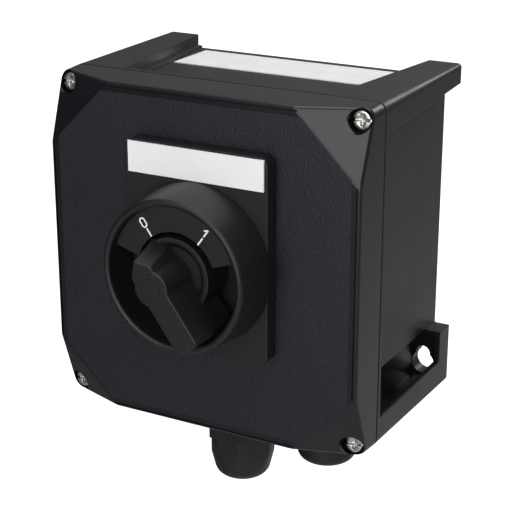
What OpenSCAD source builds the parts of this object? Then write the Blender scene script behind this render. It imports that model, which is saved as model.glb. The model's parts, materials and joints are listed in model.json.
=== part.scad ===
// Rotary isolator switch in a moulded enclosure for wall mounting.
// X runs to the right, Y from the front towards the wall, Z up.
// The origin is the centre of the back face, which lies on the wall.

/* [Enclosure] */
// Width of the cover outline
box_w = 168; // [160:1:180]
// Height of the cover outline
box_h = 170; // [162:1:182]
// Depth from the wall to the front panel
box_d = 113; // [108:1:125]
// Depth of the cover
cover_d = 23; // [20:1:28]
// Wall thickness of the mouldings
wall = 4; // [3:0.5:5]
// How far the side walls stand back from the outline
side_inset = 8; // [6:1:10]
// How far the top and bottom faces stand back from the outline
top_inset = 7; // [6:1:9]

/* [Handle] */
// Sideways offset of the switch axis
axis_x = 3; // [0:1:6]
// Height of the switch axis above the centre
axis_z = 5; // [0:1:8]
// Width of the handle plate
plate_w = 76; // [72:1:80]
// Radius of the guard ring at its foot
ring_r = 39.8; // [38:0.2:41]
// How far the guard ring stands out from its plate
ring_h = 22.5; // [18:0.5:26]
// Angle from the off mark to the on mark
throw_angle = 72; // [60:1:90]

/* [Cable entries] */
// Sideways place of the cable gland
gland_x = -3; // [-10:1:2]
// Sideways place of the blanking plug
plug_x = 46; // [44:1:48]
// Depth of the entries in front of the wall
entry_y = -66; // [-70:1:-60]

/* [Wall fixing] */
// Distance from the centre line to each keyhole
keyhole_x = 73.2; // [73.1:0.1:74.5]
// Height of the keyhole's round part
keyhole_z = -74; // [-74.5:0.5:-73]
// Distance from the centre line to the inner side of each foot
foot_x = 63; // [62:0.5:63]

/* [Hidden] */
$fn = 64;
half_w = box_w / 2;
half_h = box_h / 2;
front_y = -box_d;
joint_y = front_y + cover_d;
side_x = half_w - side_inset;
top_z = half_h - top_inset;
corner_r = 5;
flange_t = 3;

// Feet and wall lugs
foot_top_z = -53.5;
lip_top_z = -70;
lip_t = 3;
lug_t = 8.5;
lug_side_t = 12.5;
keyhole_r = 6;
slot_r = 3.7;
slot_end_z = keyhole_z + 5.4;

// Cover screws
screw_x = half_w - 6.5;
screw_z = half_h - 6.2;
screw_head_r = 4.25;
screw_sink_r = 5.6;
screw_seat_y = front_y + 15.3;
column_r = 5.6;
facet_cut = 31.5;
facet_drop = 12.5;
panel_x = half_w - 2;
panel_z = half_h - 2;

// Handle unit
plate_t = 8;
plate_y = front_y - plate_t;
plate_top = 56;
plate_bottom = -44.5;
strip_w = 72;
strip_h = 14.9;
strip_bottom = axis_z + 40;
ring_rim_r = 37.2;
ring_bore_r = 33.6;
ring_y = plate_y - ring_h;
hub_r = 18.6;
hub_y = ring_y + 2.5;
scale_y = ring_y + 4.5;
ledge_y = ring_y + 9;
grip_y = front_y - 47;
grip_tip = 15;
grip_foot_tip = 20;
grip_tail = 32;
grip_w = 12.6;
grip_boss_r = 8.6;
plate_screw_xz = [[-26, 46], [26, 46], [-26, -30], [26, -30]];
spindle_a = 8;
spindle_back = -84;
off_angle = 90 + throw_angle / 2;

// Mechanism
deck_a = 66;
deck_h = 22;
stack_back = -16;
deck_y = [stack_back - deck_h, stack_back - 2 * deck_h];
latch_y = deck_y[1] - 12;
cam_high = 14;
cam_low = 10;
contact_travel = cam_high - cam_low;
sides = [-1, 1];

// Posts on the back wall
post_xz = [[-50, 48], [50, 48], [-50, -42], [50, -42]];
earth_post_x = [-24, 24];
earth_post_z = -62;

// Brass inserts in the ends of the top rails
wall_insert_x = 75.25;
wall_insert_z = 79.5;
wall_insert_r = 4;
wall_insert_h = 13;

// Cable entries
entry_wall_z = -top_z;
m25_r = 12.5;

// ---------- shared shapes ----------

// Extrudes an outline drawn in X and Z from one depth to another
module from_to(y0, y1) {
    translate([0, y1, 0])
        rotate([90, 0, 0])
            linear_extrude(height = y1 - y0)
                children();
}

// A block given by its lowest and highest corners
module block(low, high) {
    translate(low)
        cube([for (i = [0 : 2]) high[i] - low[i]]);
}

// A round bar along Y
module rod_y(x, z, y0, y1, r) {
    translate([x, y1, z])
        rotate([90, 0, 0])
            cylinder(h = y1 - y0, r = r);
}

// A hexagon bar along Z, with one flat facing the front
module hex_z(x, y, z0, z1, across_flats) {
    translate([x, y, z0])
        cylinder(h = z1 - z0, r = across_flats / 2 / cos(30), $fn = 6);
}

module tube_z(x, y, z0, z1, r_out, r_in) {
    translate([x, y, z0])
        difference() {
            cylinder(h = z1 - z0, r = r_out);
            translate([0, 0, -1])
                cylinder(h = z1 - z0 + 2, r = r_in);
        }
}

module rounded_rect(w, h, r) {
    square([w - 2 * r, h], center = true);
    square([w, h - 2 * r], center = true);
    for (x = sides, z = sides)
        translate([x * (w / 2 - r), z * (h / 2 - r)])
            circle(r = r);
}

// A rectangle with its corners cut off
module cut_rect(w, h, c) {
    polygon([
        [w / 2 - c, h / 2], [w / 2, h / 2 - c], [w / 2, c - h / 2], [w / 2 - c, -h / 2],
        [c - w / 2, -h / 2], [-w / 2, c - h / 2], [-w / 2, h / 2 - c], [c - w / 2, h / 2]
    ]);
}

// Outline of the room inside the case, grown or shrunk by g
module room(g) {
    low_x = foot_x + g;
    x = side_x - wall + g;
    z = top_z - wall + g;
    polygon([
        [low_x, -z], [low_x, -50 - g], [x, -50 - g], [x, 60], [58, z],
        [-58, z], [-x, 60], [-x, -50 - g], [-low_x, -50 - g], [-low_x, -z]
    ]);
}

// Places its children at the four cover screws
module at_cover_screws() {
    for (x = sides, z = sides)
        translate([x * screw_x, 0, z * screw_z])
            children();
}

// A wire coil along X, as one closed tube
module coil_x(x0, x1, r, wire_r, turns) {
    steps = 14 * turns;
    n = 8;
    function centre(i) = [
        x0 + (x1 - x0) * i / steps, r * cos(360 * turns * i / steps),
        r * sin(360 * turns * i / steps)
    ];
    function ring(i) = let (t = 360 * turns * i / steps) [
        for (k = [0 : n - 1]) let (a = 360 * k / n)
            centre(i) + [wire_r * sin(a), wire_r * cos(a) * cos(t), wire_r * cos(a) * sin(t)]
    ];
    points = [for (i = [0 : steps]) each ring(i)];
    tube = [
        for (i = [0 : steps - 1], k = [0 : n - 1])
            [i * n + k, i * n + (k + 1) % n, (i + 1) * n + (k + 1) % n, (i + 1) * n + k]
    ];
    ends = [
        [for (k = [n - 1 : -1 : 0]) k], [for (k = [0 : n - 1]) steps * n + k]
    ];
    polyhedron(points = points, faces = concat(tube, ends), convexity = 8);
}

// A slotted screw along Y, with its head towards the front
module slotted_screw_y(head_y, head_h, head_r, shank_y, shank_r) {
    difference() {
        union() {
            rod_y(0, 0, head_y, head_y + head_h, head_r);
            rod_y(0, 0, head_y + head_h, shank_y, shank_r);
        }
        block([-head_r, head_y - 1, -0.5], [head_r, head_y + 1, 0.5]);
    }
}

// ---------- enclosure ----------

// The rail along each top edge, narrower towards the wall
module top_rail() {
    inner_front = 56;
    inner_back = 66.5;
    rail_front = joint_y + flange_t;
    intersection() {
        translate([0, 0, 60])
            linear_extrude(height = half_h - 60)
                polygon([
                    [inner_front, rail_front], [half_w, rail_front], [half_w, 0], [inner_back, 0]
                ]);
        translate([40, 0, 0])
            rotate([90, 0, 90])
                linear_extrude(height = 60)
                    polygon([
                        [rail_front, half_h - 15], [0, half_h - 10], [0, half_h], [rail_front, half_h]
                    ]);
    }
    translate([0, 0, top_z - 1])
        linear_extrude(height = 2.6)
            polygon([
                [inner_front - 3, rail_front], [inner_front + 1, rail_front],
                [inner_back + 1, 0], [inner_back - 3, 0]
            ]);
}

// The foot along each bottom edge, with its wall lug
module bottom_foot() {
    block([foot_x, joint_y + flange_t, -half_h], [half_w, 0, foot_top_z]);
}

// Pocket above the floor of each foot, open at the side above a low lip
module foot_pocket() {
    pocket_front = joint_y + flange_t;
    block([foot_x + wall, pocket_front, -half_h + wall], [half_w - lip_t, -lug_t, foot_top_z - 3]);
    block([foot_x + wall, pocket_front, lip_top_z], [half_w + 1, -lug_side_t, foot_top_z + 0.5]);
}

// Keyhole through the wall lug: a round hole with a slot above it
module keyhole() {
    rod_y(keyhole_x, keyhole_z, -lug_t - 1, 1, keyhole_r);
    rod_y(keyhole_x, slot_end_z, -lug_t - 1, 1, slot_r);
    block([keyhole_x - slot_r, -lug_t - 1, keyhole_z], [keyhole_x + slot_r, 1, slot_end_z]);
}

module entry_hole(x) {
    translate([x, entry_y, entry_wall_z - 1])
        cylinder(h = wall + 2, r = m25_r + 0.2);
}

module base_enclosure() {
    color([0.10, 0.10, 0.11])
    difference() {
        union() {
            difference() {
                union() {
                    from_to(joint_y, 0)
                        square([2 * side_x, 2 * top_z], center = true);
                    from_to(joint_y, joint_y + flange_t)
                        rounded_rect(box_w, box_h, corner_r);
                    for (s = [0, 1])
                        mirror([s, 0, 0]) {
                            top_rail();
                            bottom_foot();
                        }
                }
                difference() {
                    from_to(joint_y - 1, -wall)
                        room(0);
                    for (p = post_xz)
                        rod_y(p[0], p[1], -12, 0, 5);
                    for (x = earth_post_x)
                        rod_y(x, earth_post_z, -18, 0, 4);
                }
                for (s = [0, 1])
                    mirror([s, 0, 0]) {
                        foot_pocket();
                        keyhole();
                    }
            }
            // round columns that hold the cover screw inserts
            at_cover_screws()
                rod_y(0, 0, joint_y, joint_y + 20, column_r);
        }
        at_cover_screws()
            rod_y(0, 0, joint_y - 1, joint_y + 14, 3.6);
        for (x = sides)
            rod_y(x * wall_insert_x, wall_insert_z, -wall_insert_h - 1, 1, wall_insert_r);
        for (p = post_xz)
            rod_y(p[0], p[1], -13, -5, 1.9);
        for (x = earth_post_x)
            rod_y(x, earth_post_z, -19, -8, 1.5);
        entry_hole(gland_x);
        entry_hole(plug_x);
        gasket_groove();
    }
}

// Groove for the gasket in the rim of the base
module gasket_groove() {
    from_to(joint_y - 1, joint_y + 1)
        difference() {
            room(3);
            room(1);
        }
}

module cover_gasket() {
    color([0.05, 0.05, 0.05])
    from_to(joint_y, joint_y + 1)
        difference() {
            room(2.9);
            room(1.1);
        }
}

module cover_inserts() {
    color([0.80, 0.66, 0.32])
    at_cover_screws()
        difference() {
            rod_y(0, 0, joint_y + 0.5, joint_y + 14, 3.6);
            rod_y(0, 0, joint_y, joint_y + 15, 2.5);
        }
}

module wall_inserts() {
    color([0.80, 0.66, 0.32])
    for (x = sides)
        difference() {
            rod_y(x * wall_insert_x, wall_insert_z, -wall_insert_h, 0, wall_insert_r);
            rod_y(x * wall_insert_x, wall_insert_z, -wall_insert_h + 1, 1, 2.5);
        }
}

// Flat facet that slopes back towards one corner of the cover
module corner_facet() {
    mid_x = panel_x - facet_cut / 2;
    mid_z = panel_z - facet_cut / 2;
    run = norm([half_w - mid_x, half_h - mid_z]);
    translate([mid_x, front_y, mid_z])
        rotate([0, -45, 0])
            rotate([0, 0, atan2(facet_drop, run)])
                translate([0, -40, -60])
                    cube([70, 40, 120]);
}

module cover() {
    groove_w = 1.4;
    groove_h = 1.2;
    groove_l = box_h - 2 * facet_cut - 4;
    groove_x = panel_x - 0.8;
    groove_z = panel_z - 0.8;
    color([0.11, 0.11, 0.12])
    difference() {
        union() {
            difference() {
                from_to(front_y, joint_y)
                    rounded_rect(box_w, box_h, corner_r);
                from_to(front_y + wall, joint_y + 1)
                    room(-1);
            }
            // columns under the corner facets and around the spindle
            for (p = plate_screw_xz)
                rod_y(axis_x + p[0], p[1], front_y + 1, front_y + 12, 4.5);
            rod_y(axis_x, axis_z, front_y + 1, front_y + 9, 13);
        }
        for (s = [0, 1], t = [0, 1])
            mirror([s, 0, 0])
                mirror([0, 0, t])
                    corner_facet();
        // narrow grooves along the four straight edges of the panel
        for (x = sides)
            block([x * groove_x - groove_w / 2, front_y - 1, -groove_l / 2],
                  [x * groove_x + groove_w / 2, front_y + groove_h, groove_l / 2]);
        for (z = sides)
            block([-groove_l / 2, front_y - 1, z * groove_z - groove_w / 2],
                  [groove_l / 2, front_y + groove_h, z * groove_z + groove_w / 2]);
        at_cover_screws() {
            rod_y(0, 0, front_y - 1, screw_seat_y, screw_sink_r);
            rod_y(0, 0, screw_seat_y - 1, joint_y + 1, 2.9);
        }
        rod_y(axis_x, axis_z, front_y - 1, front_y + 12, 8);
        for (p = plate_screw_xz)
            rod_y(axis_x + p[0], p[1], front_y - 1, front_y + 13, 2.2);
    }
}

// Combined slot and cross recess in a cheese head
module cover_screws() {
    color([0.78, 0.78, 0.76])
    at_cover_screws()
        difference() {
            union() {
                rod_y(0, 0, screw_seat_y - 4.6, screw_seat_y - 1, screw_head_r);
                rod_y(0, 0, screw_seat_y - 1, joint_y + 10, 2.45);
            }
            // straight slot and cross recess together
            block([-screw_head_r, screw_seat_y - 5, -0.7], [screw_head_r, screw_seat_y - 3.2, 0.7]);
            block([-0.7, screw_seat_y - 5, -2.7], [0.7, screw_seat_y - 2.6, 2.7]);
            block([-2.7, screw_seat_y - 5, -0.7], [2.7, screw_seat_y - 2.6, 0.7]);
        }
}

module screw_seals() {
    color([0.05, 0.05, 0.05])
    at_cover_screws()
        difference() {
            rod_y(0, 0, screw_seat_y - 1, screw_seat_y, 4.6);
            rod_y(0, 0, screw_seat_y - 2, screw_seat_y + 1, 2.5);
        }
}

module type_label() {
    color([0.93, 0.93, 0.92])
    block([-58, -39, top_z], [58, -7, top_z + 0.4]);
}

// ---------- handle unit ----------

module handle_plate() {
    mid = (plate_top + plate_bottom) / 2 + axis_z;
    color([0.08, 0.08, 0.09])
    difference() {
        from_to(plate_y, front_y - 0.6)
            translate([axis_x, mid])
                cut_rect(plate_w, plate_top - plate_bottom, 3);
        // seat of the marking strip
        block([axis_x - strip_w / 2 - 0.3, plate_y - 1, strip_bottom - 0.3],
              [axis_x + strip_w / 2 + 0.3, plate_y + 1, strip_bottom + strip_h + 0.3]);
        rod_y(axis_x, axis_z, plate_y - 1, front_y + 1, 8);
        for (p = plate_screw_xz)
            rod_y(axis_x + p[0], p[1], plate_y + 2.5, front_y + 1, 1.6);
    }
}

module plate_gasket() {
    mid = (plate_top + plate_bottom) / 2 + axis_z;
    color([0.04, 0.04, 0.04])
    difference() {
        from_to(front_y - 0.6, front_y)
            translate([axis_x, mid])
                cut_rect(plate_w - 2, plate_top - plate_bottom - 2, 3);
        rod_y(axis_x, axis_z, front_y - 2, front_y + 1, 8);
        for (p = plate_screw_xz)
            rod_y(axis_x + p[0], p[1], front_y - 2, front_y + 1, 2.2);
    }
}

// Screws from inside the cover into the handle plate
module plate_screws() {
    color([0.70, 0.70, 0.70])
    for (p = plate_screw_xz)
        difference() {
            union() {
                rod_y(axis_x + p[0], p[1], front_y - 5, front_y + 12, 1.6);
                rod_y(axis_x + p[0], p[1], front_y + 12, front_y + 14.4, 3.4);
            }
            block([axis_x + p[0] - 4, front_y + 13.4, p[1] - 0.5],
                  [axis_x + p[0] + 4, front_y + 15, p[1] + 0.5]);
        }
}

module marking_strip() {
    color([0.95, 0.95, 0.95])
    block([axis_x - strip_w / 2, plate_y - 0.1, strip_bottom],
          [axis_x + strip_w / 2, plate_y + 1, strip_bottom + strip_h]);
}

// Turns a profile of radius and height about the switch axis, height towards the front
module about_axis(y) {
    translate([axis_x, y, axis_z])
        rotate([90, 0, 0])
            rotate_extrude($fn = 128)
                children();
}

module guard_ring() {
    lip = (ring_rim_r - ring_bore_r) / 2;
    color([0.09, 0.09, 0.10])
    about_axis(plate_y)
        difference() {
            union() {
                polygon([
                    [ring_bore_r, 0], [ring_r, 0], [ring_r - 0.5, 4],
                    [ring_rim_r, ring_h - lip], [ring_bore_r, ring_h - lip]
                ]);
                translate([ring_rim_r - lip, ring_h - lip])
                    circle(r = lip, $fn = 48);
            }
            translate([0, -5])
                square([ring_r + 5, 5]);
        }
}

// A sector of a ring seen from the front, between two angles
module sector(r_in, r_out, a0, a1) {
    far = 2 * r_out;
    steps = 8;
    intersection() {
        difference() {
            circle(r = r_out, $fn = 128);
            circle(r = r_in, $fn = 128);
        }
        polygon(concat([[0, 0]], [
            for (i = [0 : steps]) let (a = a0 + (a1 - a0) * i / steps) [far * cos(a), far * sin(a)]
        ]));
    }
}

// Floor of the guard ring with the raised scale and two low ledges
module dial_scale() {
    color([0.10, 0.10, 0.11])
    translate([axis_x, 0, axis_z]) {
        from_to(plate_y - 2, plate_y)
            difference() {
                circle(r = ring_bore_r - 0.1, $fn = 128);
                circle(r = 8);
            }
        from_to(scale_y, plate_y - 2)
            sector(20.5, ring_bore_r - 0.1, 19, 163);
        from_to(ledge_y, plate_y - 2)
            sector(32.9, ring_bore_r - 0.1, -58, -12);
    }
}

// Two half circles of radius r joined by straight sides
module oval(r, half_straight) {
    for (z = sides)
        translate([0, z * half_straight])
            circle(r = r);
    square([2 * r, 2 * half_straight], center = true);
}

// The figures 0 and 1 and their tick marks, standing 0.15 proud of the scale
module dial_marks() {
    mark_r = 28.2;
    color([0.95, 0.95, 0.95])
    translate([axis_x, 0, axis_z])
        from_to(scale_y - 0.15, scale_y) {
            for (a = [off_angle, 180 - off_angle])
                rotate(a - 90)
                    translate([-0.4, 20.8])
                        square([0.8, 4.4]);
            rotate(off_angle - 90)
                translate([0, mark_r])
                    difference() {
                        oval(1.6, 1);
                        oval(0.9, 1);
                    }
            rotate(90 - off_angle)
                translate([0, mark_r]) {
                    translate([-0.4, -2.1])
                        square([0.8, 4.2]);
                    polygon([[-0.4, 2.1], [-1.8, 0.6], [-1.3, 0.1], [-0.4, 1]]);
                }
        }
}

// Turns its children, drawn with the pointer up, to the off mark on the switch axis
module at_off_mark() {
    translate([axis_x, 0, axis_z])
        rotate([0, 90 - off_angle, 0])
            children();
}

// A straight bar of the grip's width, its tail's corners cut off
module grip_bar(y0, y1, top) {
    half = grip_w / 2;
    corner = 2;
    from_to(y0, y1)
        polygon([
            [half, top], [half, corner - grip_tail], [half - corner, -grip_tail],
            [corner - half, -grip_tail], [-half, corner - grip_tail], [-half, top]
        ]);
}

// The space outside the pointer's two flanks, which lean out towards the hub
module beside_nose(foot_y) {
    run = (grip_foot_tip - grip_tip) / sqrt(2);
    for (s = [0, 1])
        mirror([s, 0, 0])
            translate([0, grip_y, grip_tip])
                rotate([0, 45, 0])
                    rotate([atan2(run, foot_y - grip_y), 0, 0])
                        translate([-30, -30, 0])
                            cube([60, 60, 30]);
}

module rotary_handle() {
    hub_back = plate_y - 2.4;
    hub_h = hub_back - hub_y;
    rim_w = 2.4;
    dish = 2.5;
    floor_y = hub_y + dish;
    color([0.09, 0.09, 0.10])
    difference() {
        union() {
            // dished hub
            about_axis(hub_back)
                polygon([
                    [0, 0], [hub_r, 0], [hub_r, hub_h - 0.8], [hub_r - 0.8, hub_h],
                    [hub_r - rim_w, hub_h], [hub_r - rim_w - dish, hub_h - dish], [0, hub_h - dish]
                ]);
            at_off_mark() {
                difference() {
                    grip_bar(grip_y, floor_y + 0.5, grip_foot_tip + 1);
                    beside_nose(floor_y);
                }
                grip_bar(floor_y, plate_y - 6, 0);
            }
            rod_y(axis_x, axis_z, grip_y, floor_y + 1, grip_boss_r);
        }
        // screw pocket under the cap and the square socket of the spindle
        rod_y(axis_x, axis_z, grip_y - 1, grip_y + 6, 5);
        rod_y(axis_x, axis_z, grip_y + 5, floor_y + 1, 2.3);
        at_off_mark()
            from_to(floor_y, hub_back + 1)
                square(spindle_a + 0.1, center = true);
    }
}

module handle_screw() {
    color([0.72, 0.72, 0.72])
    translate([axis_x, 0, axis_z])
        slotted_screw_y(grip_y + 2.6, 3.3, 4, hub_y + 9, 2);
}

module handle_cap() {
    color([0.08, 0.08, 0.09])
    rod_y(axis_x, axis_z, grip_y - 0.2, grip_y + 2, 4.9);
}

// Flanged bush that carries the spindle in the cover
module spindle_bush() {
    color([0.75, 0.75, 0.72])
    difference() {
        union() {
            rod_y(axis_x, axis_z, plate_y - 1.4, front_y + 9, 7.95);
            rod_y(axis_x, axis_z, front_y + 9, front_y + 11, 11);
        }
        rod_y(axis_x, axis_z, plate_y - 3, front_y + 12, 6.05);
        rod_y(axis_x, axis_z, front_y + 2, front_y + 5, 7);
    }
}

module spindle_seal() {
    color([0.04, 0.04, 0.04])
    about_axis(front_y + 5)
        translate([6.55, 1.5])
            circle(r = 0.45, $fn = 24);
}

// Steel spindle: square at both ends, round in the bush
module spindle() {
    color([0.70, 0.70, 0.68])
    difference() {
        union() {
            rod_y(axis_x, axis_z, plate_y - 1.8, front_y + 14, 6);
            translate([axis_x, 0, axis_z])
                for (y = [[hub_y + 3, plate_y - 1.8], [front_y + 14, spindle_back]])
                    from_to(y[0], y[1])
                        rotate(off_angle - 90)
                            square(spindle_a, center = true);
        }
        rod_y(axis_x, axis_z, hub_y + 2, hub_y + 12, 2);
    }
}

// ---------- switch mechanism ----------

module mounting_plate() {
    color([0.75, 0.76, 0.77])
    difference() {
        block([-56, -13.5, -48], [56, -12, 54]);
        for (p = post_xz)
            rod_y(p[0], p[1], -15, -10, 2.1);
        at_stack_screws()
            rod_y(0, 0, -15, -10, 1.7);
    }
}

module mounting_screws() {
    color([0.72, 0.72, 0.72])
    for (p = post_xz)
        translate([p[0], 0, p[1]])
            slotted_screw_y(-15.7, 2.2, 3.6, -6, 1.9);
}

module at_stack_screws() {
    for (x = sides, z = sides)
        translate([axis_x + x * 29.5, 0, axis_z + z * 19])
            children();
}

module stack_square(y0, y1) {
    from_to(y0, y1)
        translate([axis_x, axis_z])
            square(deck_a, center = true);
}

module switch_foot() {
    color([0.85, 0.85, 0.82])
    difference() {
        stack_square(stack_back, -13.5);
        rod_y(axis_x, axis_z, stack_back - 1, -15, 5.1);
        at_stack_screws()
            rod_y(0, 0, -20, -10, 1.7);
    }
}

// Two moulded contact decks, each a square frame around the cam
module contact_decks() {
    color([0.86, 0.86, 0.83])
    for (y = deck_y)
        difference() {
            stack_square(y, y + deck_h);
            rod_y(axis_x, axis_z, y - 1, y + deck_h + 1, 15.4);
            at_stack_screws()
                rod_y(0, 0, y - 1, y + deck_h + 1, 1.7);
            translate([axis_x, y + deck_h / 2, axis_z])
                for (s = [0, 1])
                    mirror([s, 0, 0]) {
                        block([8, -5.3, -5.3], [31, 5.3, 5.3]);
                        block([16, -3.8, -34], [25, 3.8, 34]);
                        block([13, -5.2, 23.8], [25.2, 5.2, 34]);
                        block([13, -5.2, -34], [25.2, 5.2, -23.8]);
                        for (z = sides)
                            translate([20, 0, z * 29])
                                rod_y(0, 0, -deck_h / 2 - 1, 0, 3.4);
                    }
        }
}

// Housing of the stop plate, with fixed stops that end the throw
module latch_housing() {
    color([0.84, 0.84, 0.81])
    difference() {
        stack_square(latch_y, deck_y[1]);
        difference() {
            rod_y(axis_x, axis_z, latch_y - 1, deck_y[1] - 2, 24);
            translate([axis_x, 0, axis_z])
                from_to(latch_y, deck_y[1])
                    for (a = [0, 180])
                        rotate(a)
                            sector(17, 26, 101, 259 - throw_angle);
        }
        rod_y(axis_x, axis_z, latch_y - 1, deck_y[1] + 1, 15.4);
        at_stack_screws()
            rod_y(0, 0, latch_y - 1, deck_y[1] + 1, 1.7);
    }
}

module bearing_plate() {
    color([0.25, 0.25, 0.26])
    difference() {
        stack_square(latch_y - 2.5, latch_y);
        rod_y(axis_x, axis_z, latch_y - 4, latch_y + 1, 9.6);
        at_stack_screws()
            rod_y(0, 0, latch_y - 4, latch_y + 1, 1.7);
    }
}

module stack_screws() {
    color([0.72, 0.72, 0.72])
    at_stack_screws()
        slotted_screw_y(latch_y - 4.6, 2.1, 3, -12.2, 1.6);
}

// Radius of the cam at an angle: it falls evenly over the throw
function cam_radius(a) = let (t = a % 180)
    t <= throw_angle ? cam_high - contact_travel * t / throw_angle
    : t <= throw_angle + 18 ? cam_low
    : t <= 170 ? cam_low + contact_travel * (t - throw_angle - 18) / (152 - throw_angle)
    : cam_high;

// Cams, stop plate and spindle socket on one turning shaft
module cam_rotor() {
    color([0.75, 0.22, 0.16])
    difference() {
        translate([axis_x, 0, axis_z]) {
            rod_y(0, 0, latch_y - 16, -15.2, 5);
            rod_y(0, 0, latch_y - 16, latch_y + 1, 9.5);
            for (y = deck_y)
                from_to(y + 4, y + deck_h - 4)
                    polygon([for (a = [0 : 4 : 356]) cam_radius(a) * [cos(a), sin(a)]]);
            from_to(latch_y + 2, deck_y[1] - 2.6) {
                circle(r = 15);
                for (a = [0, 180])
                    rotate(a)
                        sector(14, 22.5, 80, 100);
            }
        }
        translate([axis_x, 0, axis_z])
            from_to(latch_y - 17, spindle_back + 1)
                rotate(off_angle - 90)
                    square(spindle_a + 0.3, center = true);
    }
}

// Places its children at each pole on one side of the switch
module at_poles(side) {
    for (y = deck_y)
        translate([axis_x, y + deck_h / 2, axis_z])
            mirror([side < 0 ? 1 : 0, 0, 0])
                children();
}

module fixed_contacts() {
    color([0.80, 0.62, 0.30])
    for (side = sides)
        at_poles(side)
            for (z = [0, 1])
                mirror([0, 0, z])
                    block([16.1, -3, 8], [17.9, 3, 31]);
}

module terminal_clamps() {
    color([0.78, 0.78, 0.76])
    for (side = sides)
        at_poles(side)
            for (z = [0, 1])
                mirror([0, 0, z])
                    difference() {
                        block([13.4, -5, 24], [24.8, 5, 32.6]);
                        block([16.1, -3, 23], [22.4, 3, 34]);
                        rod_y(20, 29, -6, -2, 2);
                    }
}

module terminal_screws() {
    color([0.72, 0.72, 0.72])
    for (side = sides)
        at_poles(side)
            for (z = sides)
                translate([20, 0, z * 29])
                    slotted_screw_y(-9, 2.4, 3, -1, 1.9);
}

// Plungers that the cams push outwards
module carriers(side) {
    color([0.90, 0.90, 0.86])
    at_poles(side)
        difference() {
            union() {
                block([17, -5, -5], [26, 5, 5]);
                translate([17, 0, 0])
                    rotate([90, 0, 0])
                        translate([0, 0, -5])
                            cylinder(h = 10, r = 2.6);
            }
            block([22, -3, -6], [24, 3, 6]);
        }
}

module carriers_left() {
    carriers(-1);
}

module carriers_right() {
    carriers(1);
}

// Bridging contacts that close each pole
module bridges(side) {
    color([0.85, 0.70, 0.38])
    at_poles(side)
        block([22, -3, -13], [24, 3, 13]);
}

module bridges_left() {
    bridges(-1);
}

module bridges_right() {
    bridges(1);
}

module contact_springs(side) {
    color([0.70, 0.70, 0.72])
    at_poles(side)
        coil_x(26.4, 30.6, 3, 0.4, 3);
}

module springs_left() {
    contact_springs(-1);
}

module springs_right() {
    contact_springs(1);
}

// ---------- earthing ----------

module earth_bar() {
    color([0.80, 0.62, 0.30])
    difference() {
        block([-32, -25, -66], [32, -18, -58]);
        for (x = [-16, 0, 16])
            rod_y(x, earth_post_z, -26, -20, 2);
        for (x = [-24, 24])
            rod_y(x, earth_post_z, -26, -17, 1.7);
        for (x = [-16, 0, 16])
            translate([x, -21.5, -67])
                cylinder(h = 10, r = 2.4);
    }
}

module earth_screws() {
    color([0.74, 0.74, 0.74])
    union() {
        for (x = [-16, 0, 16])
            translate([x, 0, -62])
                slotted_screw_y(-30, 2.6, 3.2, -23.8, 1.95);
        for (x = [-24, 24])
            translate([x, 0, -62])
                slotted_screw_y(-27.4, 2.4, 3, -9, 1.5);
    }
}

// ---------- cable entries ----------

// Flat seal, threaded body and locknut share the M25 hole in the bottom wall
module entry_gasket(x, r) {
    color([0.05, 0.05, 0.05])
    tube_z(x, entry_y, entry_wall_z - 1.5, entry_wall_z, r, m25_r + 0.2);
}

module entry_locknut(x) {
    color([0.12, 0.12, 0.13])
    difference() {
        translate([x, entry_y, 0])
            rotate([0, 0, 30])
                hex_z(0, 0, entry_wall_z + wall, entry_wall_z + wall + 5, 33);
        translate([x, entry_y, entry_wall_z])
            cylinder(h = 20, r = m25_r);
    }
}

module gland_gasket() {
    entry_gasket(gland_x, 17.5);
}

module gland_body() {
    top = entry_wall_z - 1.5;
    color([0.09, 0.09, 0.10])
    difference() {
        union() {
            tube_z(gland_x, entry_y, top, entry_wall_z + wall + 9, m25_r, 9);
            tube_z(gland_x, entry_y, top - 10, top, 18.5, 9);
            hex_z(gland_x, entry_y, top - 26.6, top - 10, 35);
            translate([gland_x, entry_y, top - 41.6])
                cylinder(h = 14, r = 14);
        }
        translate([gland_x, entry_y, top - 45])
            cylinder(h = 46, r = 9);
        translate([gland_x, entry_y, top - 43])
            cylinder(h = 20.4, r = 11.6);
    }
}

module gland_seal() {
    color([0.20, 0.20, 0.21])
    tube_z(gland_x, entry_y, entry_wall_z - 44.6, entry_wall_z - 24.6, 11.5, 8);
}

// Dome nut: six flats that fade into a rounded end
module gland_nut() {
    top = entry_wall_z - 28.6;
    color([0.09, 0.09, 0.10])
    translate([gland_x, entry_y, top])
        difference() {
            intersection() {
                rotate_extrude()
                    polygon(concat(
                        [[0, 0], [17.6, 0], [17.6, -7], [14.2, -19]],
                        [for (a = [10 : 10 : 80]) [9.2 + 5 * cos(a), -19 - 5 * sin(a)]],
                        [[9.2, -24], [0, -24]]
                    ));
                translate([0, 0, -25])
                    cylinder(h = 26, r = 33 / 2 / cos(30), $fn = 6);
            }
            translate([0, 0, -18])
                cylinder(h = 19, r = 14.1);
            translate([0, 0, -26])
                cylinder(h = 20, r = 8.6);
        }
}

module gland_locknut() {
    entry_locknut(gland_x);
}

module plug_gasket() {
    entry_gasket(plug_x, 14.6);
}

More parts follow.
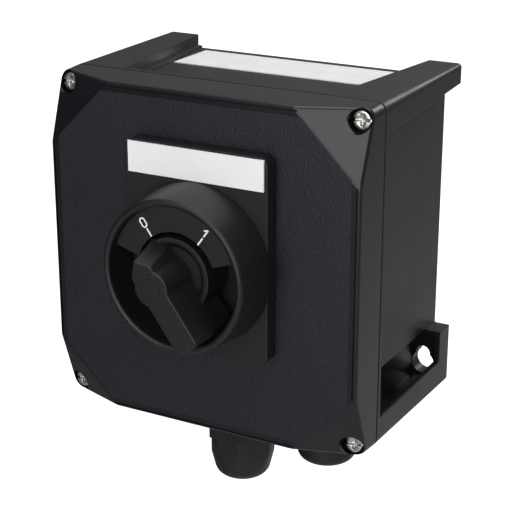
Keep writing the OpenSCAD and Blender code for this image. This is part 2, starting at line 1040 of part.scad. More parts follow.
// Blanking plug with a domed head and a coin slot
module plug_body() {
    head_r = 15;
    top = entry_wall_z - 1.5;
    head_h = 30;
    color([0.09, 0.09, 0.10])
    difference() {
        translate([plug_x, entry_y, top])
            rotate_extrude()
                polygon(concat(
                    [[0, 0], [head_r, 0], [head_r, -head_h + 5]],
                    [for (a = [10 : 10 : 80]) [head_r - 5 + 5 * cos(a), -head_h + 5 - 5 * sin(a)]],
                    [[0, -head_h]]
                ));
        block(
            [plug_x - 9, entry_y - 1.2, top - head_h - 1],
            [plug_x + 9, entry_y + 1.2, top - head_h + 2.5]
        );
    }
    color([0.09, 0.09, 0.10])
    tube_z(plug_x, entry_y, top, entry_wall_z + wall + 8, m25_r, 9);
}

module plug_locknut() {
    entry_locknut(plug_x);
}

base_enclosure();
cover_inserts();
wall_inserts();
cover_gasket();
cover();
cover_screws();
screw_seals();
type_label();
handle_plate();
plate_gasket();
plate_screws();
marking_strip();
guard_ring();
dial_scale();
dial_marks();
rotary_handle();
handle_screw();
handle_cap();
spindle_bush();
spindle_seal();
spindle();
mounting_plate();
mounting_screws();
switch_foot();
contact_decks();
latch_housing();
bearing_plate();
stack_screws();
cam_rotor();
fixed_contacts();
terminal_clamps();
terminal_screws();
carriers_left();
carriers_right();
bridges_left();
bridges_right();
springs_left();
springs_right();
earth_bar();
earth_screws();
gland_gasket();
gland_body();
gland_seal();
gland_nut();
gland_locknut();
plug_gasket();
plug_body();
plug_locknut();
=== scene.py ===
import bpy
import json
import math
from mathutils import Euler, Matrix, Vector


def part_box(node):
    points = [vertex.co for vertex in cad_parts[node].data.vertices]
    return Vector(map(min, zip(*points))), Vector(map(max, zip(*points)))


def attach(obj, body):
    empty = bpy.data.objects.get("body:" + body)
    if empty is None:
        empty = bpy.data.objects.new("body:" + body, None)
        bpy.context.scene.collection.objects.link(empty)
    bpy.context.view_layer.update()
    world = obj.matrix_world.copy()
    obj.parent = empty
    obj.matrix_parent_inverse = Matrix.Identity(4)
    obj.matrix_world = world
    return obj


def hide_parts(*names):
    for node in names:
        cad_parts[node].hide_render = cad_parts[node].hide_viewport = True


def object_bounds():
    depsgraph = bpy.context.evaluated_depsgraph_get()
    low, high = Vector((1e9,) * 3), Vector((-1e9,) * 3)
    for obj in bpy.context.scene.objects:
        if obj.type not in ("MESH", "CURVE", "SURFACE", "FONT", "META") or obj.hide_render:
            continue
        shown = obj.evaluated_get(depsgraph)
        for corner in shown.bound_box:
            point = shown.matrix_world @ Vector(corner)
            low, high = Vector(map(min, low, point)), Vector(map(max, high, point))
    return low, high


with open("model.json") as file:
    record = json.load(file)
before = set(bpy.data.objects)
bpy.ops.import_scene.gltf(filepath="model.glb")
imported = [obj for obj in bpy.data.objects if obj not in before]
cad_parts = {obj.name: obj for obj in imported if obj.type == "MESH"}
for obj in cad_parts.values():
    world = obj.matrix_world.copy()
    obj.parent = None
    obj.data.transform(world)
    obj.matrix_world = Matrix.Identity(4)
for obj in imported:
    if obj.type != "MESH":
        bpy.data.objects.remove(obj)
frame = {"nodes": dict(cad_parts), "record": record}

MM = 0.001
NODES = frame["nodes"]
BODY_OF = {
    node: body
    for body, members in frame["record"]["behaviour"]["bodies"].items()
    for node in members
}
SLOT_OF = {row["node"]: row["material_slot"] for row in frame["record"]["subparts"]}
CAD_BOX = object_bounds()
SCENE = bpy.context.scene
SIDES = (-1, 1)

# The studio, in metres: how far the floor lies below the switch, its size, the dome's radius
FLOOR_DROP, FLOOR_SIZE, DOME_RADIUS = 1.2, 17.0, 9.0
# Brightness of the surroundings on the left and on the right
LEFT_LIGHT, RIGHT_LIGHT = 0.10, 0.45

# The plane of the cover's panel
PANEL_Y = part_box("cover")[0].y


# ---------- camera, light and floor ----------

def add_camera():
    """A long lens in front of the switch, above it and to its right."""
    data = bpy.data.cameras.new("camera")
    data.sensor_width = 36.0
    data.lens = 102.9
    data.clip_start = 0.01
    data.clip_end = 50.0
    camera = bpy.data.objects.new("camera", data)
    SCENE.collection.objects.link(camera)
    camera.location = (0.3361, -0.6685, 0.2405)
    camera.rotation_euler = Euler((math.radians(70.1), 0.0, math.radians(28.8)))
    SCENE.camera = camera


def add_softbox(name, place, size, power):
    """A square area lamp that looks at the middle of the switch's back."""
    data = bpy.data.lights.new(name, "AREA")
    data.shape = "RECTANGLE"
    data.size, data.size_y = size, size
    data.energy = power
    lamp = bpy.data.objects.new(name, data)
    SCENE.collection.objects.link(lamp)
    lamp.location = place
    lamp.rotation_euler = (-Vector(place)).to_track_quat("-Z", "Y").to_euler()


def add_world():
    """Soft surroundings: a dark wall on the left, a darker band just below eye level."""
    world = bpy.data.worlds.new("studio")
    SCENE.world = world
    world.use_nodes = True
    nodes, link = world.node_tree.nodes, world.node_tree.links.new
    place = nodes.new("ShaderNodeTexCoord")
    axes = nodes.new("ShaderNodeSeparateXYZ")
    fall = nodes.new("ShaderNodeMapRange")
    fall.inputs["From Min"].default_value = -0.85
    fall.inputs["From Max"].default_value = -0.15
    fall.inputs["To Min"].default_value = LEFT_LIGHT
    fall.inputs["To Max"].default_value = RIGHT_LIGHT
    rise = nodes.new("ShaderNodeMapRange")
    rise.inputs["From Min"].default_value = -1.0
    rise.inputs["From Max"].default_value = 1.0
    bands = nodes.new("ShaderNodeValToRGB")
    ramp = bands.color_ramp
    levels = [(0.22, 1.0), (0.30, 1.0), (0.40, 0.45), (0.52, 0.45), (0.64, 0.9)]
    while len(ramp.elements) < len(levels):
        ramp.elements.new(0.5)
    for element, (height, grey) in zip(ramp.elements, levels):
        element.position = height
        element.color = (grey, grey, grey, 1.0)
    link(place.outputs["Generated"], axes.inputs["Vector"])
    link(axes.outputs["X"], fall.inputs["Value"])
    link(axes.outputs["Z"], rise.inputs["Value"])
    link(rise.outputs["Result"], bands.inputs["Fac"])
    link(bands.outputs["Color"], nodes["Background"].inputs["Color"])
    link(fall.outputs["Result"], nodes["Background"].inputs["Strength"])


def add_backdrop():
    """A plain pale dome round the studio, seen by the camera only."""
    bpy.ops.object.select_all(action="DESELECT")
    bpy.ops.mesh.primitive_uv_sphere_add(segments=48, ring_count=24, radius=DOME_RADIUS)
    dome = bpy.context.object
    dome.name = "backdrop"
    bpy.ops.object.shade_smooth()
    show_to_camera_only(dome)


def show_to_camera_only(obj):
    """Keeps a lit stage piece out of the switch's reflections and light."""
    obj.data.materials.append(MATERIALS["floor"])
    obj.visible_glossy = False
    obj.visible_diffuse = False
    obj.visible_shadow = False


def add_floor():
    """A plain pale floor well below the switch."""
    bpy.ops.object.select_all(action="DESELECT")
    floor_z = CAD_BOX[0][2] - FLOOR_DROP
    bpy.ops.mesh.primitive_plane_add(size=FLOOR_SIZE, location=(0, 0, floor_z))
    floor = bpy.context.object
    floor.name = "floor"
    show_to_camera_only(floor)


# ---------- materials ----------

def linear(code):
    """Turns an sRGB hex colour into linear values."""
    channels = [int(code[i:i + 2], 16) / 255 for i in (1, 3, 5)]
    curve = [c / 12.92 if c <= 0.04045 else ((c + 0.055) / 1.055) ** 2.4 for c in channels]
    return (*curve, 1.0)


def new_material(name):
    material = bpy.data.materials.new(name)
    material.use_nodes = True
    return material, material.node_tree.nodes["Principled BSDF"]


def add_node(material, kind, settings=None, values=None, links=None):
    """Adds a node with its settings, socket values and incoming links."""
    tree = material.node_tree
    node = tree.nodes.new(kind)
    for key, value in (settings or {}).items():
        setattr(node, key, value)
    for key, value in (values or {}).items():
        node.inputs[key].default_value = value
    for key, source in (links or {}).items():
        tree.links.new(source, node.inputs[key])
    return node


def grain(material, size_mm, detail=2.0, stretch=(1, 1, 1)):
    """Noise in object space whose grains are about size_mm across."""
    place = add_node(material, "ShaderNodeTexCoord")
    mapping = add_node(material, "ShaderNodeMapping", values={"Scale": stretch},
                       links={"Vector": place.outputs["Object"]})
    return add_node(material, "ShaderNodeTexNoise",
                    values={"Scale": 1000.0 / size_mm, "Detail": detail},
                    links={"Vector": mapping.outputs["Vector"]})


# Most of a noise texture lies between these two values
NOISE_SPAN = {"From Min": 0.3, "From Max": 0.7}


def moulded_plastic(name, dark, pale, grain_mm, relief_mm, rough):
    """Moulded black plastic: a fine spark-eroded skin with slow changes of tone and gloss."""
    material, shader = new_material(name)
    clouds = grain(material, 38.0, 3.0)
    fine = grain(material, grain_mm, 2.0)
    tone = add_node(material, "ShaderNodeMix", {"data_type": "RGBA"},
                    links={"Factor": clouds.outputs["Fac"]})
    tone.inputs[6].default_value = linear(dark)
    tone.inputs[7].default_value = linear(pale)
    gloss = add_node(material, "ShaderNodeMapRange",
                     values={**NOISE_SPAN, "To Min": rough[0], "To Max": rough[1]},
                     links={"Value": clouds.outputs["Fac"]})
    bump = add_node(material, "ShaderNodeBump",
                    values={"Strength": 0.6, "Distance": relief_mm * MM},
                    links={"Height": fine.outputs["Fac"]})
    link = material.node_tree.links.new
    link(tone.outputs[2], shader.inputs["Base Color"])
    link(gloss.outputs["Result"], shader.inputs["Roughness"])
    link(bump.outputs["Normal"], shader.inputs["Normal"])
    shader.inputs["IOR"].default_value = 1.5
    return material


# The grained octagon of the cover, from its middle, in millimetres
PANEL_HALF_WIDTH = 78.4
PANEL_HALF_HEIGHT = 79.4
PANEL_DIAGONAL = 132.8


def cover_plastic():
    """The cover's polyester: a coarse grain on the flat octagon, smooth gloss elsewhere."""
    material, shader = new_material("grained and polished polyester")
    link = material.node_tree.links.new
    place = add_node(material, "ShaderNodeTexCoord")
    mirrored = add_node(material, "ShaderNodeVectorMath", {"operation": "ABSOLUTE"},
                        links={0: place.outputs["Object"]})
    axes = add_node(material, "ShaderNodeSeparateXYZ",
                    links={"Vector": mirrored.outputs["Vector"]})
    diagonal = add_node(material, "ShaderNodeMath", {"operation": "ADD"},
                        links={0: axes.outputs["X"], 1: axes.outputs["Z"]})
    edges = [(axes.outputs["X"], "LESS_THAN", PANEL_HALF_WIDTH * MM),
             (axes.outputs["Z"], "LESS_THAN", PANEL_HALF_HEIGHT * MM),
             (diagonal.outputs["Value"], "LESS_THAN", PANEL_DIAGONAL * MM),
             (axes.outputs["Y"], "GREATER_THAN", abs(PANEL_Y) - 0.3 * MM)]
    grained = None
    for source, operation, limit in edges:
        inside = add_node(material, "ShaderNodeMath", {"operation": operation},
                          values={1: limit}, links={0: source}).outputs["Value"]
        if grained:
            inside = add_node(material, "ShaderNodeMath", {"operation": "MULTIPLY"},
                              links={0: grained, 1: inside}).outputs["Value"]
        grained = inside

    clouds = grain(material, 42.0, 3.0)
    pebbles = grain(material, 0.9, 2.0)
    skin = grain(material, 0.35, 2.0)
    tone = add_node(material, "ShaderNodeMix", {"data_type": "RGBA"},
                    links={"Factor": grained})
    tone.inputs[6].default_value = linear("#121116")
    tone.inputs[7].default_value = linear("#13121c")
    cloud_gloss = add_node(material, "ShaderNodeMapRange",
                           values={**NOISE_SPAN, "To Min": -0.03, "To Max": 0.03},
                           links={"Value": clouds.outputs["Fac"]})
    base_gloss = add_node(material, "ShaderNodeMix", {"data_type": "FLOAT"},
                          links={"Factor": grained})
    base_gloss.inputs[2].default_value = 0.24
    base_gloss.inputs[3].default_value = 0.46
    gloss = add_node(material, "ShaderNodeMath", {"operation": "ADD"},
                     links={0: base_gloss.outputs[0], 1: cloud_gloss.outputs["Result"]})
    relief = add_node(material, "ShaderNodeMath", {"operation": "MULTIPLY"},
                      links={0: grained, 1: pebbles.outputs["Fac"]})
    coarse = add_node(material, "ShaderNodeBump", values={"Strength": 1.0, "Distance": 0.2 * MM},
                      links={"Height": relief.outputs["Value"]})
    fine = add_node(material, "ShaderNodeBump", values={"Strength": 0.25, "Distance": 0.02 * MM},
                    links={"Height": skin.outputs["Fac"], "Normal": coarse.outputs["Normal"]})
    link(tone.outputs[2], shader.inputs["Base Color"])
    link(gloss.outputs["Value"], shader.inputs["Roughness"])
    link(fine.outputs["Normal"], shader.inputs["Normal"])
    shader.inputs["IOR"].default_value = 1.5
    return material


def brushed_metal(name, dark, pale, rough, stretch=(1, 1, 1)):
    """Metal with fine marks left by the tool."""
    material, shader = new_material(name)
    marks = grain(material, 0.25, 4.0, stretch)
    tone = add_node(material, "ShaderNodeMix", {"data_type": "RGBA"},
                    links={"Factor": marks.outputs["Fac"]})
    tone.inputs[6].default_value = linear(dark)
    tone.inputs[7].default_value = linear(pale)
    gloss = add_node(material, "ShaderNodeMapRange",
                     values={**NOISE_SPAN, "To Min": rough[0], "To Max": rough[1]},
                     links={"Value": marks.outputs["Fac"]})
    bump = add_node(material, "ShaderNodeBump", values={"Strength": 0.3, "Distance": 0.01 * MM},
                    links={"Height": marks.outputs["Fac"]})
    link = material.node_tree.links.new
    link(tone.outputs[2], shader.inputs["Base Color"])
    link(gloss.outputs["Result"], shader.inputs["Roughness"])
    link(bump.outputs["Normal"], shader.inputs["Normal"])
    shader.inputs["Metallic"].default_value = 1.0
    return material


def printed_film(name, dark, pale):
    """White polyester film, with a faint unevenness under its gloss."""
    material, shader = new_material(name)
    clouds = grain(material, 9.0, 2.0)
    tone = add_node(material, "ShaderNodeMix", {"data_type": "RGBA"},
                    links={"Factor": clouds.outputs["Fac"]})
    tone.inputs[6].default_value = linear(dark)
    tone.inputs[7].default_value = linear(pale)
    gloss = add_node(material, "ShaderNodeMapRange",
                     values={**NOISE_SPAN, "To Min": 0.30, "To Max": 0.42},
                     links={"Value": clouds.outputs["Fac"]})
    link = material.node_tree.links.new
    link(tone.outputs[2], shader.inputs["Base Color"])
    link(gloss.outputs["Result"], shader.inputs["Roughness"])
    return material


def floor_finish():
    """White acrylic table lit from below: bright and even, with no shadow on it."""
    material, shader = new_material("lit white acrylic")
    shader.inputs["Base Color"].default_value = linear("#f4f4f4")
    shader.inputs["Roughness"].default_value = 0.9
    shader.inputs["Specular IOR Level"].default_value = 0.0
    shader.inputs["Emission Color"].default_value = (1.0, 1.0, 1.0, 1.0)
    shader.inputs["Emission Strength"].default_value = 1.0
    return material


MATERIALS = {
    # Glass-filled polyester pressed in a polished steel mould: smooth walls with a soft
    # sheen that drifts a little from place to place
    "moulded_body": moulded_plastic("moulded polyester", "#101012", "#151518", 0.5, 0.02,
                                    (0.30, 0.40)),
    # The same polyester from a mould etched on its flat front: a pebbled, matt panel
    # between facets and edges that shine
    "moulded_cover": cover_plastic(),
    # Polyamide injected into a spark-eroded mould: an even, fine matt skin
    "handle_plastic": moulded_plastic("spark-eroded polyamide", "#0e0e0f", "#131315", 0.4, 0.03,
                                      (0.38, 0.50)),
    # Rubber cured in a plain mould: nearly black and dull all over
    "seal_rubber": moulded_plastic("black rubber", "#161616", "#1e1e1e", 0.3, 0.02, (0.6, 0.75)),
    # Steel turned on a lathe and tumbled: bright, with broken fine lines
    "screw_steel": brushed_metal("turned stainless steel", "#b9b7b2", "#e2e0dc", (0.18, 0.32)),
    # Sheet steel rolled, then zinc plated: a pale grey with streaks along the rolling
    "plated_plate": brushed_metal("zinc-plated sheet", "#a3a9ad", "#c9cdd0", (0.28, 0.42),
                                  (1, 1, 0.1)),
    # Brass bar turned and left bare: a warm shine with fine tool lines
    "brass": brushed_metal("turned brass", "#b98f45", "#dcb865", (0.2, 0.34)),
    # Coated polyester film cut and stuck on: clean white with a faint satin sheen
    "white_label": printed_film("white polyester film", "#f1f1f4", "#fafafd"),
    # Thermoplastics injected into fine-eroded moulds: even colour and a soft gloss
    "light_plastic": moulded_plastic("grey thermoplastic", "#bdbbb4", "#cbc9c2", 0.5, 0.03,
                                     (0.4, 0.5)),
    "dark_plastic": moulded_plastic("dark grey thermoplastic", "#3a3b3d", "#454649", 0.5, 0.03,
                                    (0.4, 0.5)),
    "red_plastic": moulded_plastic("red thermoplastic", "#9a2018", "#b12a20", 0.5, 0.03,
                                   (0.35, 0.45)),
    # Cast acrylic lit from below: even white with no shadow on it
    "floor": floor_finish(),
}


# ---------- modelling tools ----------

def only(*objs):
    """Selects these objects and makes the first one active."""
    bpy.ops.object.select_all(action="DESELECT")
    for obj in objs:
        obj.select_set(True)
    bpy.context.view_layer.objects.active = objs[0]


def block(name, low, high):
    """A block between two corners, in millimetres."""
    bpy.ops.object.select_all(action="DESELECT")
    middle = [(a + b) / 2 * MM for a, b in zip(low, high)]
    bpy.ops.mesh.primitive_cube_add(size=1.0, location=middle)
    obj = bpy.context.object
    obj.name = name
    obj.scale = [(b - a) * MM for a, b in zip(low, high)]
    bpy.ops.object.transform_apply(location=True, rotation=True, scale=True)
    return obj


def side_block(name, side, low, high):
    """A block drawn for the right-hand side, mirrored to the left when side is -1."""
    xs = sorted((side * low[0], side * high[0]))
    return block(name, (xs[0], *low[1:]), (xs[1], *high[1:]))


def rod(name, centre, radius, low, high, axis="Y", sides=64):
    """A rod along Y or Z between two depths, in millimetres; centre gives the other two."""
    bpy.ops.object.select_all(action="DESELECT")
    middle = (low + high) / 2
    if axis == "Y":
        place, turn = (centre[0], middle, centre[1]), (math.pi / 2, 0, 0)
    else:
        place, turn = (centre[0], centre[1], middle), (0, 0, 0)
    bpy.ops.mesh.primitive_cylinder_add(vertices=sides, radius=radius * MM,
                                        depth=(high - low) * MM,
                                        location=[c * MM for c in place], rotation=turn)
    obj = bpy.context.object
    obj.name = name
    bpy.ops.object.transform_apply(location=True, rotation=True, scale=True)
    return obj


def pick(obj, kind, test):
    """Enters edit mode with only the faces or edges that pass the test selected."""
    only(obj)
    bpy.ops.object.mode_set(mode="EDIT")
    bpy.ops.mesh.select_all(action="DESELECT")
    bpy.ops.mesh.select_mode(type=kind)
    bpy.ops.object.mode_set(mode="OBJECT")
    mesh = obj.data
    items = mesh.polygons if kind == "FACE" else mesh.edges
    for item in items:
        points = [mesh.vertices[v].co / MM for v in item.vertices]
        item.select = bool(test(points))
    bpy.ops.object.mode_set(mode="EDIT")


def leave():
    bpy.ops.object.mode_set(mode="OBJECT")


def slice_off(obj, point, normal):
    """Cuts away what lies on the normal's side of a plane and closes the cut."""
    only(obj)
    bpy.ops.object.mode_set(mode="EDIT")
    bpy.ops.mesh.select_all(action="SELECT")
    bpy.ops.mesh.bisect(plane_co=[p * MM for p in point], plane_no=Vector(normal).normalized(),
                        use_fill=True, clear_outer=True, threshold=1e-7)
    leave()


def combine(obj, tools, operation):
    """Adds tools to a piece or takes them away, then deletes them."""
    for tool in tools:
        only(obj)
        cutter = obj.modifiers.new("cutter", "BOOLEAN")
        cutter.operation = operation
        cutter.solver = "EXACT"
        cutter.object = tool
        bpy.ops.object.modifier_apply(modifier="cutter")
        bpy.data.objects.remove(tool, do_unlink=True)


def merge_flats(obj):
    """Joins faces that lie in one plane, so that no stray edge is left for a bevel."""
    only(obj)
    bpy.ops.object.mode_set(mode="EDIT")
    bpy.ops.mesh.select_all(action="SELECT")
    bpy.ops.mesh.remove_doubles(threshold=0.002 * MM)
    bpy.ops.mesh.dissolve_limited(angle_limit=math.radians(0.3))
    leave()


def round_edges(obj, width, segments=3, angle=30.0):
    """Rounds every edge that is sharper than an angle."""
    merge_flats(obj)
    bevel = obj.modifiers.new("rounding", "BEVEL")
    bevel.width = width * MM
    bevel.segments = segments
    bevel.limit_method = "ANGLE"
    bevel.angle_limit = math.radians(angle)
    bevel.use_clamp_overlap = False
    bevel.miter_outer = "MITER_ARC"
    bpy.ops.object.modifier_apply(modifier="rounding")


def bevel_picked(width, segments):
    bpy.ops.mesh.bevel(offset=width * MM, segments=segments, affect="EDGES", clamp_overlap=False)
    leave()


def along_y(points):
    """True for an edge that runs along Y."""
    a, b = points
    return abs(a.x - b.x) < 0.01 and abs(a.z - b.z) < 0.01


def stand_for(obj, node, flat_faces=True):
    """Finishes a piece: clean normals, smooth curves, its material, body and slot."""
    only(obj)
    bpy.ops.object.mode_set(mode="EDIT")
    bpy.ops.mesh.select_all(action="SELECT")
    bpy.ops.mesh.remove_doubles(threshold=0.001 * MM)
    bpy.ops.mesh.normals_make_consistent(inside=False)
    leave()
    bpy.ops.object.shade_smooth_by_angle(angle=math.radians(32.0))
    if flat_faces:
        flats = obj.modifiers.new("flats", "WEIGHTED_NORMAL")
        flats.keep_sharp = True
        bpy.ops.object.modifier_apply(modifier="flats")
    obj.name = node + "_shape"
    obj.data.materials.clear()
    obj.data.materials.append(MATERIALS[SLOT_OF[node]])
    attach(obj, BODY_OF[node])
    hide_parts(node)


# ---------- enclosure ----------

HALF_W, HALF_H = 84.0, 85.0
SIDE_X, TOP_Z = 76.0, 78.0
FRONT, JOINT = -113.0, -90.0
FLANGE = 3.0
WALL = 4.0
LUG_T = 8.5
CORNER_R = 5.0
SCREW_AT = [(x * (HALF_W - 6.5), z * (HALF_H - 6.2)) for x in SIDES for z in SIDES]
AXIS = (3.0, 5.0)
POSTS = [(-50, 48), (50, 48), (-50, -42), (50, -42)]
PLATE_SCREW_AT = [(AXIS[0] + x, z) for x in (-26, 26) for z in (46, -30)]
EARTH_AT = [(-24, -62), (24, -62)]
ENTRY_X, ENTRY_Y, ENTRY_R = (-3, 46), -66, 12.7
FOOT_IN = 63
KEY_X, KEY_Z, KEY_R = 73.2, -74, 6.0
SLOT_Z, SLOT_R = -68.6, 3.7
INSERT_AT, INSERT_R = (75.25, 79.5), 4.0


def room(name, y0, y1, grow):
    """The room inside the case, with narrow lower corners beside the feet."""
    x, z = SIDE_X - WALL + grow, TOP_Z - WALL + grow
    obj = block(name, (-x, y0, -z), (x, y1, z))
    for side in SIDES:
        slice_off(obj, (side * 58, 0, z), (side * (z - 60), 0, x - 58))
    corners = [side_block("corner", s, (FOOT_IN + grow, y0 - 1, -90), (90, y1 + 1, -50 - grow))
               for s in SIDES]
    combine(obj, corners, "DIFFERENCE")
    return obj


def make_cover():
    """Cover: drafted walls, grained octagon, four smooth corner facets."""
    facet_cut, facet_drop = 31.5, 12.5
    panel_x, panel_z = HALF_W - 2, HALF_H - 2
    cover = block("cover", (-HALF_W, FRONT, -HALF_H), (HALF_W, JOINT, HALF_H))
    pick(cover, "EDGE", along_y)
    bevel_picked(CORNER_R, 8)
    pick(cover, "FACE", lambda pts: all(p.y < FRONT + 1 for p in pts))
    bpy.ops.transform.resize(value=((HALF_W - 1.0) / HALF_W, 1, (HALF_H - 1.0) / HALF_H),
                             center_override=(0, FRONT * MM, 0))
    leave()
    mid_x, mid_z = panel_x - facet_cut / 2, panel_z - facet_cut / 2
    slope = math.atan2(facet_drop, math.hypot(HALF_W - mid_x, HALF_H - mid_z))
    across = math.sin(slope) / math.sqrt(2)
    for x in SIDES:
        for z in SIDES:
            slice_off(cover, (x * mid_x, FRONT, z * mid_z),
                      (x * across, -math.cos(slope), z * across))
    round_edges(cover, 1.4, 4, 18.0)
    groove_x, groove_z, half_groove, length = panel_x - 0.8, panel_z - 0.8, 0.55, 51.0
    cutters = [room("room", FRONT + WALL, JOINT + 1, -1)]
    for s in SIDES:
        cutters.append(block("groove", (s * groove_x - half_groove, FRONT - 1, -length),
                             (s * groove_x + half_groove, FRONT + 0.8, length)))
        cutters.append(block("groove", (-length, FRONT - 1, s * groove_z - half_groove),
                             (length, FRONT + 0.8, s * groove_z + half_groove)))
    for at in SCREW_AT:
        cutters.append(rod("sink", at, 5.6, FRONT - 1, FRONT + 15.3, sides=48))
        cutters.append(rod("hole", at, 2.9, FRONT + 14, JOINT + 1, sides=32))
    combine(cover, cutters, "DIFFERENCE")
    bosses = [rod("boss", at, 4.5, FRONT + 1, FRONT + 12, sides=32) for at in PLATE_SCREW_AT]
    bosses.append(rod("boss", AXIS, 13.0, FRONT + 1, FRONT + 9))
    combine(cover, bosses, "UNION")
    holes = [rod("hole", at, 2.2, FRONT - 1, FRONT + 13, sides=24) for at in PLATE_SCREW_AT]
    holes.append(rod("hole", AXIS, 8.0, FRONT - 1, FRONT + 12))
    combine(cover, holes, "DIFFERENCE")
    stand_for(cover, "cover")


def taper_corner(obj, side, up):
    """Rounds an outer corner along Y: the flange's radius in front, a crisp edge at the wall."""
    def at_corner(p):
        return side * p.x > HALF_W - CORNER_R - 0.1 and up * p.z > HALF_H - CORNER_R - 0.1

    pick(obj, "EDGE", lambda pts: along_y(pts) and all(at_corner(p) for p in pts))
    bevel_picked(CORNER_R, 8)
    pick(obj, "EDGE", lambda pts: all(at_corner(p) and p.y > -0.01 for p in pts))
    bpy.ops.transform.resize(value=(0.35, 1, 0.35),
                             center_override=(side * HALF_W * MM, 0, up * HALF_H * MM))
    leave()


def make_base():
    """Base: walls set back behind a flange, two top rails and two feet with keyhole lugs."""
    rail_front = JOINT + FLANGE
    base = block("base", (-SIDE_X, JOINT, -TOP_Z), (SIDE_X, 0, TOP_Z))
    flange = block("flange", (-HALF_W, JOINT, -HALF_H), (HALF_W, rail_front, HALF_H))
    pick(flange, "EDGE", along_y)
    bevel_picked(CORNER_R, 8)
    added = [flange]
    for s in SIDES:
        rail = side_block("rail", s, (50, rail_front - 0.5, 70), (HALF_W, 0, HALF_H))
        taper_corner(rail, s, 1)
        slice_off(rail, (s * 66.5, 0, 0), (-s * 87, 10.5, 0))
        slice_off(rail, (0, 0, 75), (0, 5, -87))
        ledge = side_block("ledge", s, (47, rail_front - 0.7, 77), (70, -1.5, 79.6))
        slice_off(ledge, (s * 63.5, 0, 0), (-s * 87, 10.5, 0))
        foot = side_block("foot", s, (FOOT_IN, rail_front - 0.5, -HALF_H), (HALF_W, 0, -53.5))
        taper_corner(foot, s, -1)
        added += [rail, ledge, foot]
    combine(base, added, "UNION")
    cuts = []
    for s in SIDES:
        cuts.append(side_block("pocket", s, (67, rail_front, -81), (81, -LUG_T, -56.5)))
        cuts.append(side_block("pocket", s, (67, rail_front, -70), (85, -12.5, -53)))
        cuts.append(rod("keyhole", (s * KEY_X, KEY_Z), KEY_R, -LUG_T - 1, 1, sides=48))
        slot = rod("slot", (s * KEY_X, SLOT_Z), SLOT_R, -LUG_T - 1, 1, sides=48)
        combine(slot, [block("slot", (s * KEY_X - SLOT_R, -LUG_T - 1, KEY_Z),
                             (s * KEY_X + SLOT_R, 1, SLOT_Z))], "UNION")
        cuts.append(slot)
        cuts.append(rod("insert", (s * INSERT_AT[0], INSERT_AT[1]), INSERT_R, -14, 1, sides=48))
    cuts.append(room("room", JOINT - 1, -WALL, 0))
    combine(base, cuts, "DIFFERENCE")
    posts = [rod("post", at, 5.0, -12, -2, sides=32) for at in POSTS]
    posts += [rod("post", at, 4.0, -18, -2, sides=32) for at in EARTH_AT]
    posts += [rod("column", at, 5.6, JOINT + 0.3, JOINT + 20, sides=48) for at in SCREW_AT]
    combine(base, posts, "UNION")
    holes = [rod("hole", at, 3.6, JOINT - 1, JOINT + 14, sides=32) for at in SCREW_AT]
    holes += [rod("hole", at, 1.9, -13, -5, sides=24) for at in POSTS]
    holes += [rod("hole", at, 1.5, -19, -8, sides=24) for at in EARTH_AT]
    holes += [rod("entry", (x, ENTRY_Y), ENTRY_R, -TOP_Z - 1, -TOP_Z + WALL + 1, axis="Z")
              for x in ENTRY_X]
    combine(base, holes, "DIFFERENCE")
    round_edges(base, 0.45, 2, 30.0)
    stand_for(base, "base_enclosure")


# ---------- handle unit and entries ----------

OFF_TURN = math.radians(36.0)
GRIP_FRONT, HUB_FRONT, HUB_BACK = -160.0, -141.0, -123.4
HUB_R, BOSS_R, CAP_R, CAP_POCKET_R = 18.6, 8.6, 4.9, 5.0
SCREW_HOLE_R, HALF_SOCKET = 2.3, 4.05


def make_handle():
    """Dished hub with a grip whose pointed nose leans out towards the hub's rim."""
    half, tip, foot_tip, tail = 6.3, 15.0, 20.0, 32.0
    floor_y = HUB_FRONT + 2.5
    grip = block("grip", (-half, GRIP_FRONT, -tail), (half, floor_y + 0.5, foot_tip + 1))
    lean = (foot_tip - tip) / math.sqrt(2) / (floor_y - GRIP_FRONT)
    for s in SIDES:
        slice_off(grip, (0, GRIP_FRONT, tip), (s * math.sqrt(0.5), -lean, math.sqrt(0.5)))
    low_tail = block("low tail", (-half + 0.05, floor_y - 1, -tail + 0.05),
                     (half - 0.05, -127, 0))
    for part in (grip, low_tail):
        pick(part, "EDGE", lambda pts: along_y(pts) and all(p.z < 1 - tail for p in pts))
        bevel_picked(2.0, 4)
    round_edges(grip, 0.7, 3, 25.0)
    boss = rod("boss", (0, 0), BOSS_R, GRIP_FRONT + 0.01, floor_y + 1)
    round_edges(boss, 0.7, 3, 60.0)
    hub = rod("hub", (0, 0), HUB_R, HUB_FRONT, HUB_BACK, sides=96)
    pick(hub, "FACE", lambda pts: all(p.y < HUB_FRONT + 0.1 for p in pts))
    bpy.ops.mesh.inset(thickness=2.4 * MM, depth=0)
    bpy.ops.mesh.inset(thickness=2.5 * MM, depth=-2.5 * MM)
    leave()
    round_edges(hub, 0.5, 2, 25.0)
    combine(grip, [boss, low_tail, hub], "UNION")
    combine(grip, [rod("pocket", (0, 0), CAP_POCKET_R, GRIP_FRONT - 1, GRIP_FRONT + 6, sides=48),
                   rod("hole", (0, 0), SCREW_HOLE_R, GRIP_FRONT + 5, HUB_FRONT + 4, sides=32),
                   block("socket", (-HALF_SOCKET, HUB_FRONT + 2.6, -HALF_SOCKET),
                         (HALF_SOCKET, HUB_BACK + 1, HALF_SOCKET))], "DIFFERENCE")
    place_on_axis(grip)
    stand_for(grip, "rotary_handle")


def place_on_axis(obj):
    """Turns a piece drawn with its pointer upwards to the off mark, on the switch axis."""
    only(obj)
    obj.rotation_euler = (0, -OFF_TURN, 0)
    obj.location = (AXIS[0] * MM, 0, AXIS[1] * MM)
    bpy.ops.object.transform_apply(location=True, rotation=True, scale=True)


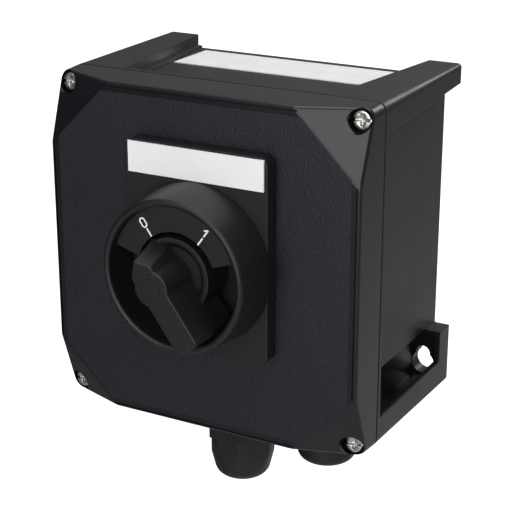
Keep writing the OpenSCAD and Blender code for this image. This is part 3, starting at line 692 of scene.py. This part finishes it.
def make_cap():
    """Cap over the handle's screw, with a flat face and rounded edges."""
    cap = rod("cap", (0, 0), CAP_R, GRIP_FRONT - 0.2, GRIP_FRONT + 2, sides=64)
    pick(cap, "FACE", lambda pts: all(p.y < GRIP_FRONT for p in pts))
    bpy.ops.mesh.inset(thickness=0.5 * MM, depth=0)
    leave()
    round_edges(cap, 0.15, 2, 25.0)
    place_on_axis(cap)
    stand_for(cap, "handle_cap")


def make_gland_nut():
    """Dome nut: six flats that run out into a rounded end."""
    low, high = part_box("gland_nut")
    x, y = (low.x + high.x) / 2 / MM, (low.y + high.y) / 2 / MM
    top, bottom = high.z / MM, low.z / MM
    dome_r, half_flats, straight = 17.6, 16.5, 7
    dome = rod("dome", (x, y), dome_r, top - straight, top, axis="Z", sides=96)
    pick(dome, "FACE", lambda pts: all(p.z < top - straight + 1 for p in pts))
    drop = (bottom - top + straight) * MM
    bpy.ops.mesh.extrude_region_move(TRANSFORM_OT_translate={"value": (0, 0, drop)})
    bpy.ops.transform.resize(value=(0.76, 0.76, 1), center_override=(x * MM, y * MM, bottom * MM))
    leave()
    pick(dome, "EDGE", lambda pts: all(p.z < bottom + 0.1 for p in pts))
    bevel_picked(5.0, 6)
    hexagon = rod("hexagon", (0, 0), half_flats / math.cos(math.pi / 6), bottom - 1, top,
                  axis="Z", sides=6)
    only(hexagon)
    hexagon.rotation_euler = (0, 0, math.pi / 6)
    hexagon.location = (x * MM, y * MM, 0)
    bpy.ops.object.transform_apply(location=True, rotation=True, scale=True)
    pick(hexagon, "EDGE", lambda pts: abs(pts[0].x - pts[1].x) + abs(pts[0].y - pts[1].y) < 0.01)
    bevel_picked(0.8, 3)
    combine(dome, [hexagon], "INTERSECT")
    combine(dome, [rod("bore", (x, y), 14.1, top - 18, top + 1, axis="Z"),
                   rod("bore", (x, y), 8.6, bottom - 1, top, axis="Z")], "DIFFERENCE")
    stand_for(dome, "gland_nut")


# ---------- CAD nodes ----------

def finish_node(node):
    """Gives a CAD node its material."""
    obj = NODES[node]
    obj.data.materials.clear()
    obj.data.materials.append(MATERIALS[SLOT_OF[node]])


def softened(node, width, segments=2, angle=28.0):
    """A copy of a CAD node with its sharp edges rounded, which stands for the node."""
    piece = bpy.data.objects.new(node, NODES[node].data.copy())
    SCENE.collection.objects.link(piece)
    only(piece)
    bpy.ops.object.mode_set(mode="EDIT")
    bpy.ops.mesh.select_all(action="SELECT")
    bpy.ops.mesh.remove_doubles(threshold=0.002 * MM)
    bpy.ops.mesh.dissolve_limited(angle_limit=math.radians(0.6))
    leave()
    round_edges(piece, width, segments, angle)
    stand_for(piece, node, node != "cover_screws")


add_camera()
for node in NODES:
    finish_node(node)
make_cover()
make_base()
make_handle()
make_cap()
make_gland_nut()
SOFT_EDGES = {
    "handle_plate": 0.5,
    "dial_scale": 0.4,
    "guard_ring": 0.3,
    "gland_body": 0.4,
    "plug_body": 0.3,
    "cover_screws": 0.15,
}
for node, width in SOFT_EDGES.items():
    softened(node, width)

add_world()
add_floor()
add_backdrop()
add_softbox("front", (0.27, -1.51, 0.44), 1.8, 20.0)
add_softbox("overhead", (0.0, 0.1, 1.6), 1.5, 14.0)
add_softbox("rim", (0.53, 1.31, 0.75), 0.5, 3.0)

SCENE.view_settings.view_transform = "Standard"
